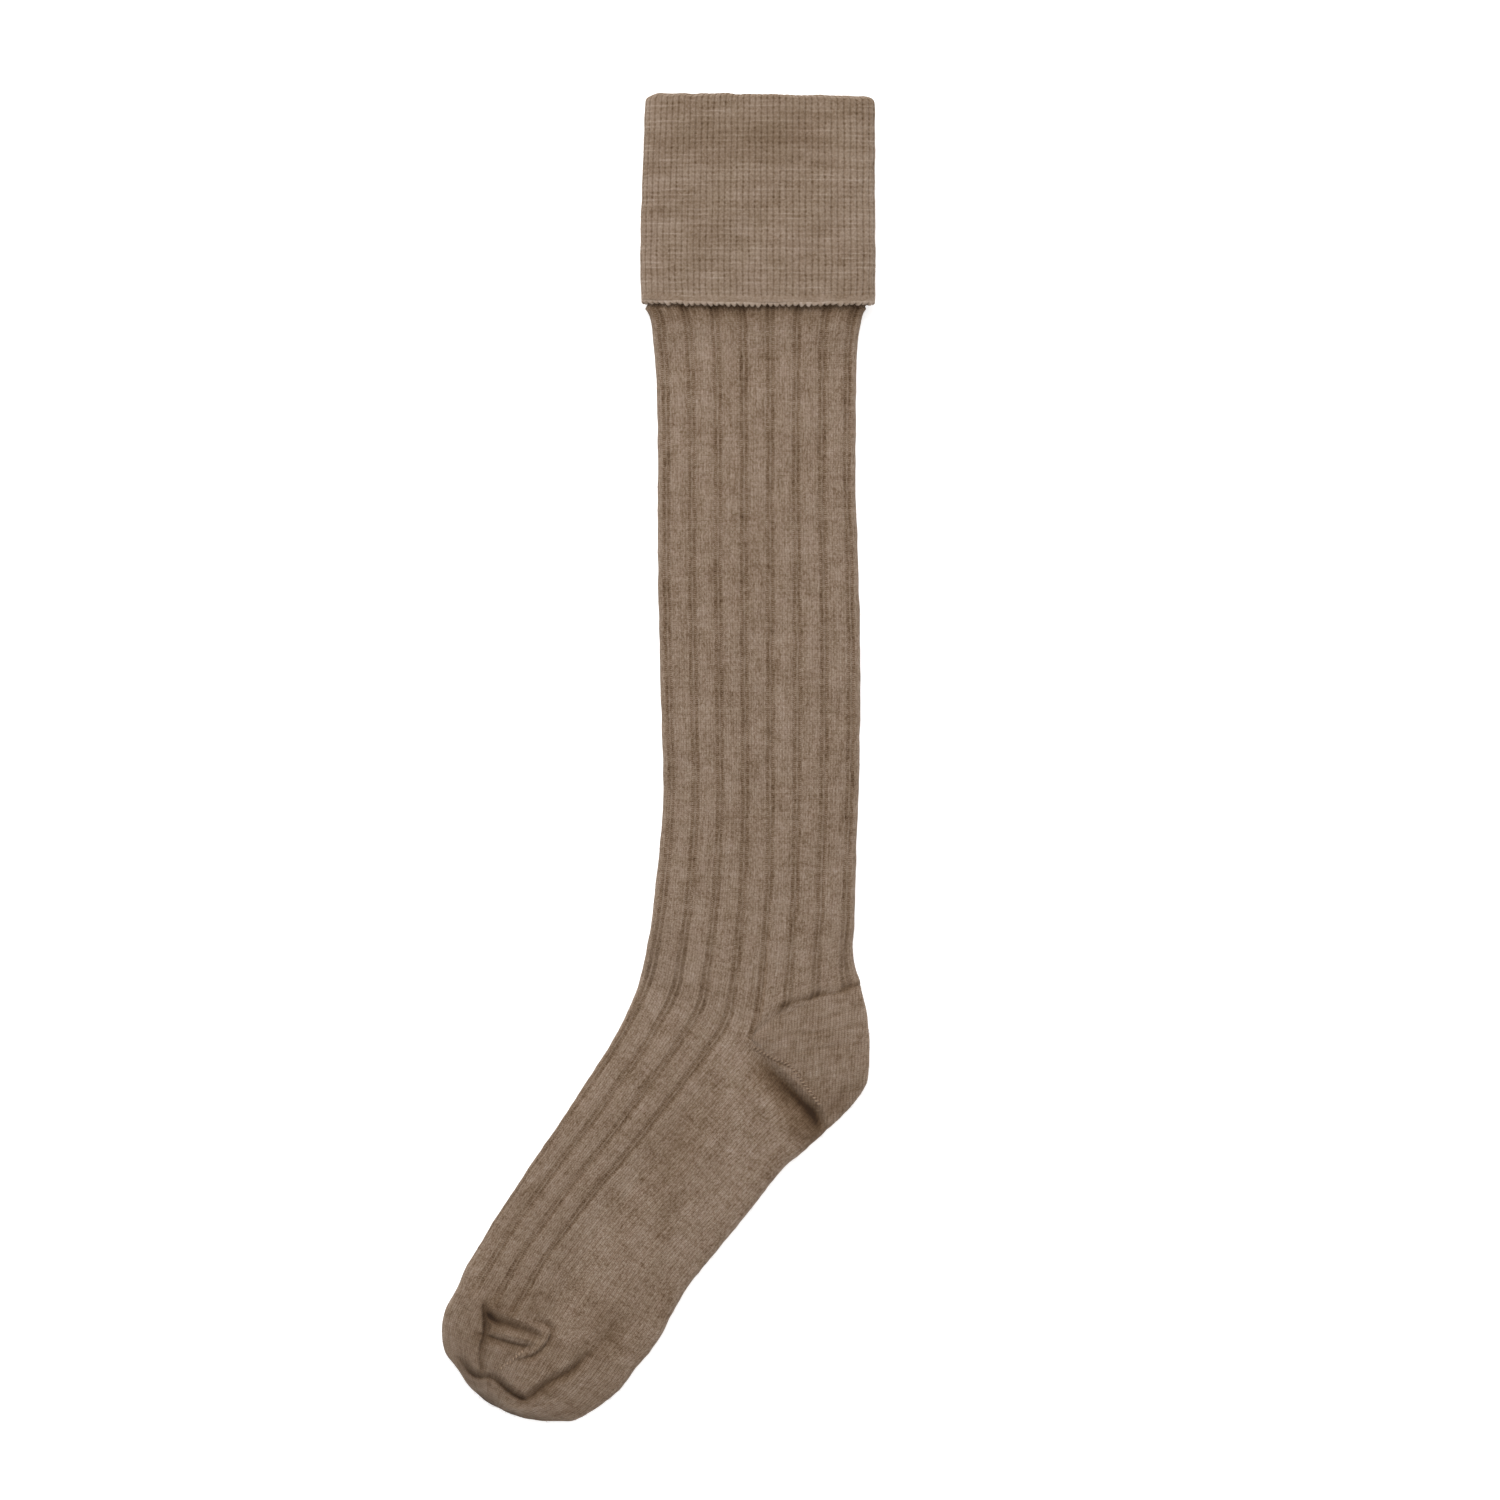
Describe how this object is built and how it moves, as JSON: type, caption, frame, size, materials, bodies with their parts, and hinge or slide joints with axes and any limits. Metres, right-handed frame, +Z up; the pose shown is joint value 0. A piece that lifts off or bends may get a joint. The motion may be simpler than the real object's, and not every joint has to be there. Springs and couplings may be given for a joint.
{
  "type": "knee sock",
  "caption": "Ribbed knee-length sock with a turned-down cuff, plain heel pocket, plain sole and plain toe cap, lying flat on its side.",
  "frame": {"origin": "middle of the sock's outline seen from above, at the height of the surface it lies on", "axes": "+Y along the leg towards the cuff, -X towards the toe, +Z up from the surface"},
  "size_m": [0.2042, 0.6236, 0.0161],
  "materials": {
    "cuff_rib": "fine 1x1 rib of taupe melange wool",
    "hem_knit": "lighter finished edge of the cuff",
    "ribbed_knit": "wide ribbed knit of taupe melange wool",
    "plain_knit": "plain stocking-stitch knit of taupe melange wool"
  },
  "bodies": {
    "root": {"cuff": "cuff_rib", "hem": "hem_knit", "leg": "ribbed_knit", "foot": "ribbed_knit", "heel": "plain_knit", "toe": "plain_knit"}
  },
  "joints": []
}
